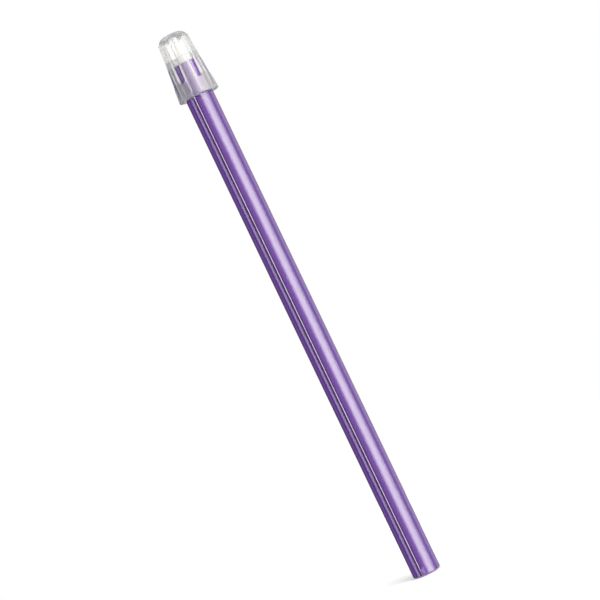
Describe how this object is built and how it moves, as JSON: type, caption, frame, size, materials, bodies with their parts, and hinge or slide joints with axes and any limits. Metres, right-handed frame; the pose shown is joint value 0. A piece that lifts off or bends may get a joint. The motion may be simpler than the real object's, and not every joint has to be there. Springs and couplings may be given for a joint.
{
  "type": "saliva ejector tip",
  "caption": "Bendable plastic suction tube with a wire in its wall and a soft slotted push-on cap. It is straight at rest, bends near the tip and stays bent.",
  "frame": {"origin": "centre of the tube's open hose end, on its cut face", "axes": "+Z along the straight tube from the hose end to the tip; +X is the side to which a positive bend leans the tip; -Y is the side nearest the wire"},
  "size_m": [0.0094, 0.0094, 0.1317],
  "materials": {
    "tube": "glossy translucent purple flexible PVC, extruded",
    "wire": "drawn soft steel wire",
    "cap": "clear to milky soft PVC, moulded"
  },
  "bodies": {
    "hose_end": {"tube_hose_end": "tube", "wire_hose_end": "wire"},
    "bend_1": {"tube_bend_1": "tube", "wire_bend_1": "wire"},
    "bend_2": {"tube_bend_2": "tube", "wire_bend_2": "wire"},
    "bend_3": {"tube_bend_3": "tube", "wire_bend_3": "wire"},
    "bend_4": {"tube_bend_4": "tube", "wire_bend_4": "wire"},
    "bend_5": {"tube_bend_5": "tube", "wire_bend_5": "wire"},
    "tip_end": {"tube_tip_end": "tube", "wire_tip_end": "wire"},
    "cap": {"cap": "cap"}
  },
  "joints": [
    {"name": "bend", "type": "hinge", "parent": "hose_end", "child": "bend_1", "pos_m": [0, 0, 0.068], "axis": [0, 1, 0], "range_deg": [-15, 15]},
    {"name": "bend_hinge_2", "type": "hinge", "parent": "bend_1", "child": "bend_2", "pos_m": [0, 0, 0.074], "axis": [0, 1, 0], "range_deg": [-15, 15]},
    {"name": "bend_hinge_3", "type": "hinge", "parent": "bend_2", "child": "bend_3", "pos_m": [0, 0, 0.08], "axis": [0, 1, 0], "range_deg": [-15, 15]},
    {"name": "bend_hinge_4", "type": "hinge", "parent": "bend_3", "child": "bend_4", "pos_m": [0, 0, 0.086], "axis": [0, 1, 0], "range_deg": [-15, 15]},
    {"name": "bend_hinge_5", "type": "hinge", "parent": "bend_4", "child": "bend_5", "pos_m": [0, 0, 0.092], "axis": [0, 1, 0], "range_deg": [-15, 15]},
    {"name": "bend_hinge_6", "type": "hinge", "parent": "bend_5", "child": "tip_end", "pos_m": [0, 0, 0.098], "axis": [0, 1, 0], "range_deg": [-15, 15]},
    {"name": "cap_pull", "type": "slide", "parent": "tip_end", "child": "cap", "axis": [0, 0, 1], "range_m": [0, 0.014]}
  ],
  "couplings": [
    {"joint": "bend_hinge_2", "follows": "bend", "ratio": 1},
    {"joint": "bend_hinge_3", "follows": "bend", "ratio": 1},
    {"joint": "bend_hinge_4", "follows": "bend", "ratio": 1},
    {"joint": "bend_hinge_5", "follows": "bend", "ratio": 1},
    {"joint": "bend_hinge_6", "follows": "bend", "ratio": 1}
  ]
}
